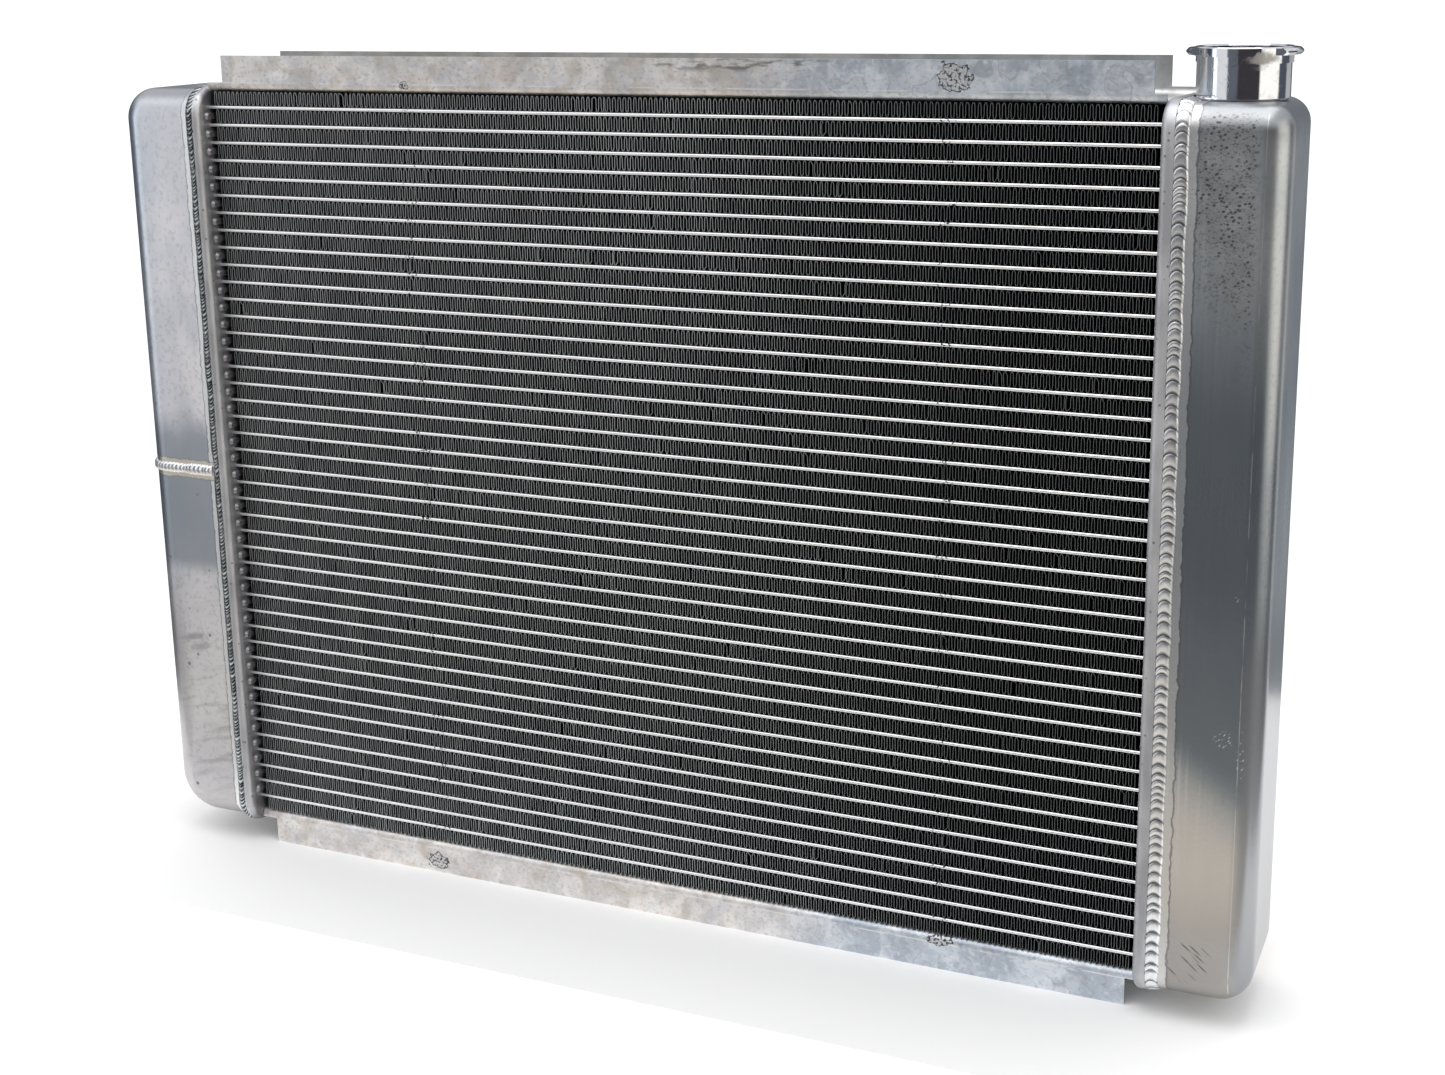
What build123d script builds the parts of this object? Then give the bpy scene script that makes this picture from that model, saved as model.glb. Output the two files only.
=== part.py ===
from build123d import *
import os

# A crossflow, double-pass aluminium car radiator, standing on the free edges of its bottom channel.
# +X runs along the tubes from the divided tank to the filler tank, +Y from the grille side to the
# engine side, +Z up. The origin is on the floor, below the centre of the core.

os.makedirs("parts", exist_ok=True)

inch = 25.4
cut_past = 1.0  # how far a cutting sketch or body runs past the face that it cuts

# core
core_width = 560.7
overall_height = 19 * inch
tube_count = 43
tube_pitch = 10.1
tube_thickness = 2.0
tube_depth = 1 * inch
tube_wall = 0.4
tube_row_gap = 6.35
tube_past_header = 2.0
fin_setback = 0.7
fin_end_gap = 3.2

# header plates
sheet = 2.0
header_bend = 3.3
lip_depth = 7.0
rib_height = 1.5
rib_width = 4.6
rib_past_tubes = 4.5
rib_slope = 35.0
mouth_gap = 0.2

# tanks
tank_depth = 3 * inch
tank_height = 450.0
tank_drop = 2.5
left_tank_end = 340.5
right_tank_end_front = 341.0
right_tank_end_rear = 335.0
left_edge_radius = 15.0
right_edge_radius = 12.0
left_top_corner = 18.0
left_bottom_corner = 26.0
right_top_corner = 12.5
right_bottom_corner = 18.0

# the divider between the two passes, and the weld beads
divider_thickness = 2.0
divider_below_middle = 2.5
bead_width = 7.0
bead_height = 1.8
left_bead_crown = 0.9  # how far the bead on the divided tank stands above the header lip
bead_round = 1.4
weld_chamfer_share = 0.8

# side channels
channel_sheet = 1.3
channel_depth = 57.0
channel_bend = 4.5
channel_front_left = -269.5
channel_front_right = 274.0
channel_rear_right = 267.5
web_end_gap = 0.3
flange_cut_past_bend = 0.5

# filler neck
neck_x = 309.0
neck_radius = 22.0
neck_height = 24.6
neck_bore = 19.8
seat_bore = 16.0
seat_height = 5.6
spigot_radius = 19.0
spigot_length = 5.0
neck_weld_width = 1.5
neck_band_radius = 23.2
neck_band_height = 4.3
neck_foot_chamfer = 1.0
neck_band_chamfer = 0.5
neck_mouth_chamfer = 0.7
ear_radius = 27.0
ear_span = 30.0
ear_thickness = 3.2
ear_chamfer = 1.2
ear_above_band = 0.5
ear_root = 1.0
cam_height = 3.2
cam_start = 2.4
overflow_radius = 3.2
overflow_length = 24.0
overflow_wall = 1.0
overflow_inset = 0.6
overflow_barb_height = 0.7
overflow_barb_length = 2.0
overflow_barb_from_end = 4.6

# hose necks on the rear of the divided tank
port_x = 317.0
port_wall = 2.0
port_length = 45.0
port_inner_end = 27.0
inlet_radius = 1.25 * inch / 2
outlet_radius = 1.5 * inch / 2
inlet_above_middle = 165.0
outlet_above_middle = -165.0
hose_bead_height = 1.2
hose_bead_width = 4.0
hose_bead_from_end = 8.0
hose_bead_round = 0.9 * hose_bead_height
port_weld_width = 3.0
port_weld_rise = 3.0

# drain petcock on the rear of the filler tank
drain_x = 308.5
drain_above_tank_floor = 32.0
bung_radius = 11.0
bung_length = 12.0
thread_radius = 6.6
bung_weld_width = 2.8
bung_chamfer = 1.0
hex_across_flats = 16.0
hex_length = 7.0
barrel_radius = 6.8
barrel_length = 15.0
passage_radius = 3.0
stem_bore = 4.25
stem_radius = 4.2
stem_neck_radius = 2.4
stem_past_passage = 0.6
stem_past_barrel = 4.0
stem_collar_radius = 6.0
stem_collar_gap = 1.0
seal_radius = 4.0
seal_thickness = 2.0
seal_gap = 0.05
seal_chamfer = 0.5
nozzle_radius = 4.0
nozzle_bore = 2.2
nozzle_boss_radius = 5.0
nozzle_boss_drop = 9.5
nozzle_drop = 21.0
nozzle_past_seat = 4.0
wing_span = 26.0
wing_height = 13.0
wing_thickness = 3.0
wing_round = 5.2
wing_root = 2.0

# worked out from the dimensions above
middle = overall_height / 2
header_face = core_width / 2
core_depth = 2 * tube_depth + tube_row_gap
tube_heights = [middle + (n - (tube_count - 1) / 2) * tube_pitch for n in range(tube_count)]
fin_thickness = tube_pitch - tube_thickness
fin_heights = [tube_heights[0] - tube_pitch / 2] + [z + tube_pitch / 2 for z in tube_heights]
rib_heights = fin_heights[1:-1]
row_middle = (tube_depth + tube_row_gap) / 2
web_height = fin_heights[-1] + fin_thickness / 2 - middle
tank_middle = middle - tank_drop
tank_top = tank_middle + tank_height / 2
tank_floor = tank_middle - tank_height / 2
header_depth = tank_depth + 2 * sheet
header_height = tank_height + 2 * sheet
lip_edge = header_face + lip_depth
tank_mouth = header_face + header_bend + mouth_gap
divider_middle = middle - divider_below_middle
tank_rear = tank_depth / 2
neck_top = tank_top + neck_height
band_foot = neck_top - neck_band_height
overflow_z = tank_top + neck_height / 2
port_end = tank_rear + port_length
drain_z = tank_floor + drain_above_tank_floor
bung_end = tank_rear + bung_length
seat_y = bung_end + hex_length
barrel_end = seat_y + barrel_length
nozzle_y = seat_y + nozzle_past_seat


# --- core: two rows of flat oval tubes, with a layer of fins each side of every tube ---

for name, row_y in (("core_tubes_front_row", -row_middle), ("core_tubes_rear_row", row_middle)):
    tube_half_length = header_face + sheet + tube_past_header
    with BuildPart() as tube_row:
        with BuildSketch(Plane.YZ.offset(-tube_half_length)):
            with Locations(*[(row_y, z) for z in tube_heights]):
                SlotOverall(tube_depth, tube_thickness)
                SlotOverall(tube_depth - 2 * tube_wall, tube_thickness - 2 * tube_wall, mode=Mode.SUBTRACT)
        extrude(amount=2 * tube_half_length)
    tube_row.part.label = name
    export_step(tube_row.part, f"parts/{name}.step")

# Each fin layer is one closed block here, as large as the folded fin strip that fills it.
with BuildPart() as cooling_fins:
    with BuildSketch(Plane.YZ.offset(fin_end_gap - header_face)):
        with Locations(*[(0, z) for z in fin_heights]):
            Rectangle(core_depth - 2 * fin_setback, fin_thickness)
    extrude(amount=core_width - 2 * fin_end_gap)

cooling_fins.part.label = "cooling_fins"
export_step(cooling_fins.part, "parts/cooling_fins.step")


# --- headers: shallow pressed pans, slotted for the tubes, ribbed between them ---

for name, side, edge_radius in (
    ("left_header", -1, left_edge_radius),
    ("right_header", 1, right_edge_radius),
):
    with BuildPart() as header:
        with BuildSketch(Plane.YZ.offset(side * header_face)):
            with Locations((0, tank_middle)):
                RectangleRounded(header_depth, header_height, edge_radius + sheet)
        extrude(amount=side * lip_depth)
        core_side = header.faces().filter_by(Axis.X).sort_by(Axis.X, reverse=side < 0)[0]
        fillet(core_side.edges(), header_bend)

        with BuildSketch(Plane.YZ.offset(side * (header_face + sheet))):
            with Locations((0, tank_middle)):
                RectangleRounded(tank_depth, tank_height, edge_radius)
        extrude(amount=side * lip_depth, mode=Mode.SUBTRACT)
        pan_floor = header.faces().filter_by(Axis.X).sort_by(Axis.X, reverse=side < 0)[1]
        fillet(pan_floor.edges(), header_bend - sheet)

        with BuildSketch(Plane.YZ.offset(side * header_face)):
            with Locations(*[(0, z) for z in rib_heights]):
                SlotOverall(core_depth + 2 * rib_past_tubes, rib_width)
        extrude(amount=-side * rib_height, taper=rib_slope)

        with BuildSketch(Plane.YZ.offset(side * (header_face - sheet))):
            with Locations(*[(y, z) for y in (-row_middle, row_middle) for z in tube_heights]):
                SlotOverall(tube_depth, tube_thickness)
        extrude(amount=side * 3 * sheet, mode=Mode.SUBTRACT)
    header.part.label = name
    export_step(header.part, f"parts/{name}.step")


# --- divided tank: one drawn shell, cut in two by the divider plate ---

with BuildPart() as left_tank:
    with BuildSketch(Plane.XZ.offset(tank_rear)) as left_outline:
        with Locations((-(tank_mouth + left_tank_end) / 2, tank_middle)):
            Rectangle(left_tank_end - tank_mouth, tank_height)
        fillet(left_outline.vertices().group_by(Axis.X)[0].sort_by(Axis.Y)[1], left_top_corner)
        fillet(left_outline.vertices().group_by(Axis.X)[0].sort_by(Axis.Y)[0], left_bottom_corner)
    extrude(amount=-tank_depth)
    rims = left_tank.faces().filter_by(Axis.Y).edges()
    fillet(rims.filter_by(lambda edge: edge.center().X < -tank_mouth - cut_past), left_edge_radius)
left_tank_solid = left_tank.part

for name, side, kept_side, port_radius, port_above_middle in (
    ("left_tank_upper", 1, Keep.TOP, inlet_radius, inlet_above_middle),
    ("left_tank_lower", -1, Keep.BOTTOM, outlet_radius, outlet_above_middle),
):
    cut_height = divider_middle + side * divider_thickness / 2
    with BuildPart() as half_tank:
        add(left_tank_solid)
        mouth = half_tank.faces().filter_by(Axis.X).sort_by(Axis.X)[-1]
        offset(amount=-sheet, openings=mouth)
        split(bisect_by=Plane.XY.offset(cut_height), keep=kept_side)
        with BuildSketch(Plane.XZ.offset(-tank_rear - sheet)):
            with Locations((-port_x, middle + port_above_middle)):
                Circle(port_radius)
        extrude(amount=tank_rear + sheet - port_inner_end, mode=Mode.SUBTRACT)
    half_tank.part.label = name
    export_step(half_tank.part, f"parts/{name}.step")

with BuildPart() as tank_divider:
    with BuildSketch(Plane.XY.offset(divider_middle - divider_thickness / 2)) as divider_plan:
        with Locations((-(tank_mouth + left_tank_end) / 2, 0)):
            Rectangle(left_tank_end - tank_mouth, tank_depth)
        fillet(divider_plan.vertices().group_by(Axis.X)[0], left_edge_radius)
        tongue_depth = tank_depth - 2 * header_bend
        with Locations((-(header_face + sheet + tank_mouth) / 2, 0)):
            Rectangle(tank_mouth - header_face - sheet, tongue_depth)
    extrude(amount=divider_thickness)

tank_divider.part.label = "tank_divider"
export_step(tank_divider.part, "parts/tank_divider.step")


# --- filler tank, in one piece, with its end face leaning in towards the rear ---

with BuildPart() as right_tank:
    with BuildSketch(Plane.XY.offset(tank_floor)):
        with BuildLine():
            Polyline(
                (tank_mouth, -tank_rear),
                (right_tank_end_front, -tank_rear),
                (right_tank_end_rear, tank_rear),
                (tank_mouth, tank_rear),
                close=True,
            )
        make_face()
    extrude(amount=tank_height)
    end_face = right_tank.faces().sort_by(Axis.X)[-1]
    fillet(end_face.edges().sort_by(Axis.Z)[-1], right_top_corner)
    end_face = right_tank.faces().sort_by(Axis.X)[-1]
    fillet(end_face.edges().sort_by(Axis.Z)[0], right_bottom_corner)
    rims = right_tank.faces().filter_by(Axis.Y).edges()
    fillet(rims.filter_by(lambda edge: edge.center().X > tank_mouth + cut_past), right_edge_radius)
    mouth = right_tank.faces().filter_by(Axis.X).sort_by(Axis.X)[0]
    offset(amount=-sheet, openings=mouth)
    with BuildSketch(Plane.XY.offset(tank_top + cut_past)):
        with Locations((neck_x, 0)):
            Circle(spigot_radius)
    extrude(amount=-2 * spigot_length, mode=Mode.SUBTRACT)
    with BuildSketch(Plane.XZ.offset(-tank_rear - cut_past)):
        with Locations((drain_x, drain_z)):
            Circle(thread_radius)
    extrude(amount=2 * sheet, mode=Mode.SUBTRACT)

right_tank.part.label = "right_tank"
export_step(right_tank.part, "parts/right_tank.step")


# --- weld beads round both headers and across the divided tank ---

# The left bead laps over the header's lip, and the right one starts at the lip's edge.
for name, side, edge_radius, bead_start, crown in (
    ("left_header_weld", -1, left_edge_radius, header_bend, left_bead_crown),
    ("right_header_weld", 1, right_edge_radius, lip_depth, 0),
):
    with BuildPart() as header_weld:
        with BuildSketch(Plane.YZ.offset(side * (header_face + bead_start))):
            with Locations((0, tank_middle)):
                outer_radius = edge_radius + sheet + crown
                RectangleRounded(header_depth + 2 * crown, header_height + 2 * crown, outer_radius)
        extrude(amount=side * bead_width)
        toe = header_weld.faces().filter_by(Axis.X).sort_by(Axis.X, reverse=side < 0)[-1]
        fillet(toe.edges(), bead_round)
        if crown:
            lip_end = header_weld.faces().filter_by(Axis.X).sort_by(Axis.X, reverse=side < 0)[0]
            fillet(lip_end.edges(), weld_chamfer_share * crown)
        with BuildSketch(Plane.YZ.offset(side * header_face)):
            with Locations((0, tank_middle)):
                RectangleRounded(header_depth, header_height, edge_radius + sheet)
        extrude(amount=side * lip_depth, mode=Mode.SUBTRACT)
        with BuildSketch(Plane.YZ.offset(side * lip_edge)):
            with Locations((0, tank_middle)):
                RectangleRounded(tank_depth, tank_height, edge_radius)
        extrude(amount=side * 2 * bead_width, mode=Mode.SUBTRACT)
        # The bead on the filler tank stops against the neck.
        with BuildSketch(Plane.XY.offset(tank_top)):
            with Locations((neck_x, 0)):
                Circle(neck_radius)
        extrude(amount=neck_height, mode=Mode.SUBTRACT)
    header_weld.part.label = name
    export_step(header_weld.part, f"parts/{name}.step")

weld_start = header_face + header_bend + bead_width
with BuildPart() as divider_weld:
    with BuildSketch(Plane.XY.offset(divider_middle - bead_width / 2)) as bead_plan:
        with Locations((-(weld_start + left_tank_end + bead_height) / 2, 0)):
            Rectangle(left_tank_end + bead_height - weld_start, tank_depth + 2 * bead_height)
        fillet(bead_plan.vertices().group_by(Axis.X)[0], left_edge_radius + bead_height)
    extrude(amount=bead_width)
    outer_edges = divider_weld.faces().filter_by(Axis.Z).edges()
    fillet(outer_edges.filter_by(lambda edge: edge.center().X < -weld_start - cut_past), bead_round)
    with BuildSketch(Plane.XY.offset(divider_middle - bead_width)) as tank_plan:
        with Locations((-(tank_mouth + left_tank_end) / 2, 0)):
            Rectangle(left_tank_end - tank_mouth, tank_depth)
        fillet(tank_plan.vertices().group_by(Axis.X)[0], left_edge_radius)
    extrude(amount=2 * bead_width, mode=Mode.SUBTRACT)

divider_weld.part.label = "divider_weld"
export_step(divider_weld.part, "parts/divider_weld.step")


# --- side channels: web against the outermost fins, flanges turned away from the core ---

for name, side in (("top_side_channel", 1), ("bottom_side_channel", -1)):
    flange_height = middle - web_height
    root_group = 0 if side > 0 else -1
    with BuildPart() as channel:
        with BuildSketch(Plane.YZ.offset(web_end_gap - header_face)) as outside:
            with Locations((0, middle + side * (web_height + flange_height / 2))):
                Rectangle(channel_depth, flange_height)
            fillet(outside.vertices().group_by(Axis.Y)[root_group], channel_bend)
        extrude(amount=core_width - 2 * web_end_gap)
        with BuildSketch(Plane.YZ.offset(-header_face)) as hollow:
            with Locations((0, middle + side * (web_height + channel_sheet + flange_height / 2))):
                Rectangle(channel_depth - 2 * channel_sheet, flange_height)
            fillet(hollow.vertices().group_by(Axis.Y)[root_group], channel_bend - channel_sheet)
        extrude(amount=core_width, mode=Mode.SUBTRACT)
        # The flanges stop short of the headers, and only the web runs on to them.
        above_bend = middle + side * (web_height + channel_bend + flange_cut_past_bend)
        for y, x_from, x_to in (
            (-channel_depth / 2, -header_face, channel_front_left),
            (-channel_depth / 2, channel_front_right, header_face),
            (channel_depth / 2, -header_face, channel_front_left),
            (channel_depth / 2, channel_rear_right, header_face),
        ):
            with BuildSketch(Plane.XY.offset(above_bend)):
                with Locations(((x_from + x_to) / 2, y)):
                    Rectangle(x_to - x_from, 2 * channel_bend)
            extrude(amount=side * flange_height, mode=Mode.SUBTRACT)
    channel.part.label = name
    export_step(channel.part, f"parts/{name}.step")


# --- filler neck, open at the top, with cam ears for a pressure cap ---

with BuildPart() as filler_neck:
    with BuildSketch(Plane.XZ) as neck_section:
        with BuildLine():
            Polyline(
                (neck_x + seat_bore, tank_top - spigot_length),
                (neck_x + spigot_radius, tank_top - spigot_length),
                (neck_x + spigot_radius, tank_top),
                (neck_x + neck_radius - neck_foot_chamfer, tank_top),
                (neck_x + neck_radius, tank_top + neck_foot_chamfer),
                (neck_x + neck_radius, band_foot),
                (neck_x + neck_band_radius, band_foot),
                (neck_x + neck_band_radius, neck_top - neck_band_chamfer),
                (neck_x + neck_band_radius - neck_band_chamfer, neck_top),
                (neck_x + neck_bore + neck_mouth_chamfer, neck_top),
                (neck_x + neck_bore, neck_top - neck_mouth_chamfer),
                (neck_x + neck_bore, tank_top + seat_height),
                (neck_x + seat_bore, tank_top + seat_height),
                close=True,
            )
        make_face()
    revolve(axis=Axis((neck_x, 0, 0), (0, 0, 1)))
    with BuildSketch(Plane.XY.offset(band_foot + ear_above_band)):
        with Locations((neck_x, 0)):
            Circle(ear_radius)
            Rectangle(2 * ear_radius, ear_span, mode=Mode.INTERSECT)
            Circle(neck_radius - ear_root, mode=Mode.SUBTRACT)
    extrude(amount=ear_thickness)
    ear_tips = filler_neck.edges().filter_by(GeomType.CIRCLE)
    ear_tips = ear_tips.filter_by(lambda edge: abs(edge.radius - ear_radius) < 0.01)
    chamfer(ear_tips, ear_chamfer)
    # Below the band, each cam starts at a stop and runs a quarter turn round the neck.
    with BuildSketch(Plane.XY.offset(band_foot - cam_height)):
        with Locations((neck_x + cam_start + ear_radius / 2, -ear_radius / 2)):
            Rectangle(ear_radius, ear_radius)
        with Locations((neck_x - cam_start - ear_radius / 2, ear_radius / 2)):
            Rectangle(ear_radius, ear_radius)
        with Locations((neck_x, 0)):
            Circle(neck_band_radius, mode=Mode.INTERSECT)
            Circle(neck_radius - ear_root, mode=Mode.SUBTRACT)
    extrude(amount=cam_height)
    with BuildSketch(Plane.XZ.offset(-neck_band_radius - cut_past)):
        with Locations((neck_x, overflow_z)):
            Circle(overflow_radius)
    extrude(amount=neck_radius, mode=Mode.SUBTRACT)

filler_neck.part.label = "filler_neck"
export_step(filler_neck.part, "parts/filler_neck.step")

with BuildPart() as filler_neck_weld:
    with BuildSketch(Plane.XY.offset(tank_top - sheet)):
        with Locations((neck_x, 0)):
            Circle(spigot_radius + neck_weld_width)
            Circle(spigot_radius, mode=Mode.SUBTRACT)
    extrude(amount=sheet - spigot_length)
    lower_edge = filler_neck_weld.edges().filter_by(GeomType.CIRCLE).group_by(Axis.Z)[0]
    fillet(lower_edge.sort_by(SortBy.RADIUS)[-1], weld_chamfer_share * neck_weld_width)
    add(right_tank.part, mode=Mode.SUBTRACT)

filler_neck_weld.part.label = "filler_neck_weld"
export_step(filler_neck_weld.part, "parts/filler_neck_weld.step")

with BuildPart() as overflow_nipple:
    overflow_start = neck_bore + overflow_inset
    overflow_end = overflow_start + overflow_length
    with BuildSketch(Plane.XZ.offset(-overflow_start)):
        with Locations((neck_x, overflow_z)):
            Circle(overflow_radius)
    extrude(amount=-overflow_length)
    with BuildSketch(Plane.XZ.offset(overflow_barb_from_end - overflow_end)):
        with Locations((neck_x, overflow_z)):
            Circle(overflow_radius + overflow_barb_height)
    extrude(amount=-overflow_barb_length)
    with BuildSketch(Plane.XZ.offset(-neck_bore)):
        with Locations((neck_x, overflow_z)):
            Circle(overflow_radius - overflow_wall)
    extrude(amount=-overflow_length - overflow_inset - cut_past, mode=Mode.SUBTRACT)

overflow_nipple.part.label = "overflow_nipple"
export_step(overflow_nipple.part, "parts/overflow_nipple.step")


# --- hose necks and their welds, on the rear of the divided tank ---

for name, port_radius, port_above_middle in (
    ("inlet_neck", inlet_radius, inlet_above_middle),
    ("outlet_neck", outlet_radius, outlet_above_middle),
):
    port_z = middle + port_above_middle
    with BuildPart() as hose_neck:
        with BuildSketch(Plane.XZ.offset(-port_inner_end)):
            with Locations((-port_x, port_z)):
                Circle(port_radius)
        extrude(amount=port_inner_end - port_end)
        with BuildSketch(Plane.XZ.offset(hose_bead_from_end - port_end)):
            with Locations((-port_x, port_z)):
                Circle(port_radius + hose_bead_height)
        extrude(amount=-hose_bead_width)
        bead_rims = hose_neck.edges().filter_by(GeomType.CIRCLE)
        bead_rims = bead_rims.filter_by(lambda edge: edge.radius > port_radius + hose_bead_height / 2)
        fillet(bead_rims, hose_bead_round)
        with BuildSketch(Plane.XZ.offset(cut_past - port_inner_end)):
            with Locations((-port_x, port_z)):
                Circle(port_radius - port_wall)
        extrude(amount=port_inner_end - port_end - 2 * cut_past, mode=Mode.SUBTRACT)
    hose_neck.part.label = name
    export_step(hose_neck.part, f"parts/{name}.step")

    with BuildPart() as neck_weld:
        with BuildSketch(Plane.XZ.offset(-port_inner_end)):
            with Locations((-port_x, port_z)):
                Circle(port_radius + port_weld_width)
        extrude(amount=port_inner_end - tank_rear - port_weld_rise)
        outer_end = neck_weld.faces().filter_by(Axis.Y).sort_by(Axis.Y)[-1]
        chamfer(outer_end.edges(), weld_chamfer_share * port_weld_width)
        add(left_tank_solid, mode=Mode.SUBTRACT)
        with BuildSketch(Plane.XZ.offset(cut_past - port_inner_end)):
            with Locations((-port_x, port_z)):
                Circle(port_radius)
        extrude(amount=-port_length, mode=Mode.SUBTRACT)
    neck_weld.part.label = f"{name}_weld"
    export_step(neck_weld.part, f"parts/{name}_weld.step")


# --- drain petcock: boss, brass body, screw stem with wings, rubber seat seal ---

with BuildPart() as drain_bung:
    with BuildSketch(Plane.XZ.offset(-tank_rear)):
        with Locations((drain_x, drain_z)):
            Circle(bung_radius)
            Circle(thread_radius, mode=Mode.SUBTRACT)
    extrude(amount=-bung_length)
    outer_face = drain_bung.faces().filter_by(Axis.Y).sort_by(Axis.Y)[-1]
    chamfer(outer_face.outer_wire().edges(), bung_chamfer)

drain_bung.part.label = "drain_bung"
export_step(drain_bung.part, "parts/drain_bung.step")

with BuildPart() as drain_bung_weld:
    with BuildSketch(Plane.XZ.offset(-tank_rear)):
        with Locations((drain_x, drain_z)):
            Circle(bung_radius + bung_weld_width)
            Circle(bung_radius, mode=Mode.SUBTRACT)
    extrude(amount=-bung_weld_width)
    outer_face = drain_bung_weld.faces().filter_by(Axis.Y).sort_by(Axis.Y)[-1]
    chamfer(outer_face.outer_wire().edges(), weld_chamfer_share * bung_weld_width)

drain_bung_weld.part.label = "drain_bung_weld"
export_step(drain_bung_weld.part, "parts/drain_bung_weld.step")

with BuildPart() as petcock_body:
    with BuildSketch(Plane.XZ.offset(-tank_rear)):
        with Locations((drain_x, drain_z)):
            Circle(thread_radius)
    extrude(amount=-bung_length)
    with BuildSketch(Plane.XZ.offset(-bung_end)):
        with Locations((drain_x, drain_z)):
            RegularPolygon(hex_across_flats / 2, 6, major_radius=False)
    extrude(amount=-hex_length)
    with BuildSketch(Plane.XZ.offset(-seat_y)):
        with Locations((drain_x, drain_z)):
            Circle(barrel_radius)
    extrude(amount=-barrel_length)
    with BuildSketch(Plane.XY.offset(drain_z)):
        with Locations((drain_x, nozzle_y)):
            Circle(nozzle_boss_radius)
    extrude(amount=-nozzle_boss_drop)
    with BuildSketch(Plane.XY.offset(drain_z)):
        with Locations((drain_x, nozzle_y)):
            Circle(nozzle_radius)
    extrude(amount=-nozzle_drop)
    with BuildSketch(Plane.XZ.offset(cut_past - tank_rear)):
        with Locations((drain_x, drain_z)):
            Circle(passage_radius)
    extrude(amount=-bung_length - hex_length - 2 * cut_past, mode=Mode.SUBTRACT)
    with BuildSketch(Plane.XZ.offset(-seat_y)):
        with Locations((drain_x, drain_z)):
            Circle(stem_bore)
    extrude(amount=-barrel_length - cut_past, mode=Mode.SUBTRACT)
    with BuildSketch(Plane.XY.offset(drain_z)):
        with Locations((drain_x, nozzle_y)):
            Circle(nozzle_bore)
    extrude(amount=-nozzle_drop - cut_past, mode=Mode.SUBTRACT)

petcock_body.part.label = "petcock_body"
export_step(petcock_body.part, "parts/petcock_body.step")

seal_y = seat_y + seal_gap
with BuildPart() as petcock_seal:
    with BuildSketch(Plane.XZ.offset(-seal_y)):
        with Locations((drain_x, drain_z)):
            Circle(seal_radius)
    extrude(amount=-seal_thickness)
    inner_rim = petcock_seal.edges().filter_by(GeomType.CIRCLE).sort_by(Axis.Y)[0]
    chamfer(inner_rim, seal_chamfer)

petcock_seal.part.label = "petcock_seal"
export_step(petcock_seal.part, "parts/petcock_seal.step")

stem_start = seal_y + seal_thickness + seal_gap
stem_full = nozzle_y + nozzle_bore + stem_past_passage
stem_end = barrel_end + stem_past_barrel
with BuildPart() as petcock_stem:
    with BuildSketch(Plane.XZ.offset(-stem_start)):
        with Locations((drain_x, drain_z)):
            Circle(stem_neck_radius)
    extrude(amount=stem_start - stem_full)
    with BuildSketch(Plane.XZ.offset(-stem_full)):
        with Locations((drain_x, drain_z)):
            Circle(stem_radius)
    extrude(amount=stem_full - stem_end)
    with BuildSketch(Plane.XZ.offset(-barrel_end - stem_collar_gap)):
        with Locations((drain_x, drain_z)):
            Circle(stem_collar_radius)
    extrude(amount=stem_collar_gap - stem_past_barrel)
    with BuildSketch(Plane.XY.offset(drain_z - wing_thickness / 2)) as wing_plan:
        with Locations((drain_x, stem_end + wing_height / 2)):
            Rectangle(wing_span, wing_height)
        fillet(wing_plan.vertices(), wing_round)
        with Locations((drain_x, stem_end)):
            Rectangle(2 * stem_radius, wing_root)
    extrude(amount=wing_thickness)

petcock_stem.part.label = "petcock_stem"
export_step(petcock_stem.part, "parts/petcock_stem.step")
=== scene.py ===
import math

import bpy
import numpy as np
from mathutils import Matrix, Vector


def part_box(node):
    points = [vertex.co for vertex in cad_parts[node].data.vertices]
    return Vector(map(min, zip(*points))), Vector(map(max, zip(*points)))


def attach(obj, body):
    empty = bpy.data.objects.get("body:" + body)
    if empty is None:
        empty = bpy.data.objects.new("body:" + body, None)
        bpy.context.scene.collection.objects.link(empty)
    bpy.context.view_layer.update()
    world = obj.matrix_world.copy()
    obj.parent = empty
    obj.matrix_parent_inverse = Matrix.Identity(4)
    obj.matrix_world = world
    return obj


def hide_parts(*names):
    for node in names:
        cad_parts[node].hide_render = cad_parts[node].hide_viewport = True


# Looks for the car radiator. Metres, +Z up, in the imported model's frame: +X runs along the tubes from the
# divided tank to the filler tank, and the grille side faces -Y.

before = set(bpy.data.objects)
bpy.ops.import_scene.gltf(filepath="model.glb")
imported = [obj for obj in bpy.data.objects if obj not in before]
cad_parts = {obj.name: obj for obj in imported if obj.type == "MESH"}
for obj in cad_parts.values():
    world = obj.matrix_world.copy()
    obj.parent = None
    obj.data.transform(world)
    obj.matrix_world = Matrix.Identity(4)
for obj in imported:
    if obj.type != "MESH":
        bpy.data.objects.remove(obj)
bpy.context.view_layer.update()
mm = 0.001
body = "radiator"

# Places that the looks share with the model.
TUBE_PITCH = 10.1 * mm
MIDDLE_HEIGHT = 241.3 * mm
DIVIDER_HEIGHT = 238.8 * mm
CHANNEL_BEND = 226.2 * mm  # from the middle height to where a side channel's web meets its flanges
STRAPS = (-145 * mm, 172 * mm)  # the two straps that held the core in the furnace
LOUVRE_WIDTH = 0.55 * mm


# --- short calls for shader nodes ---

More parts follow.
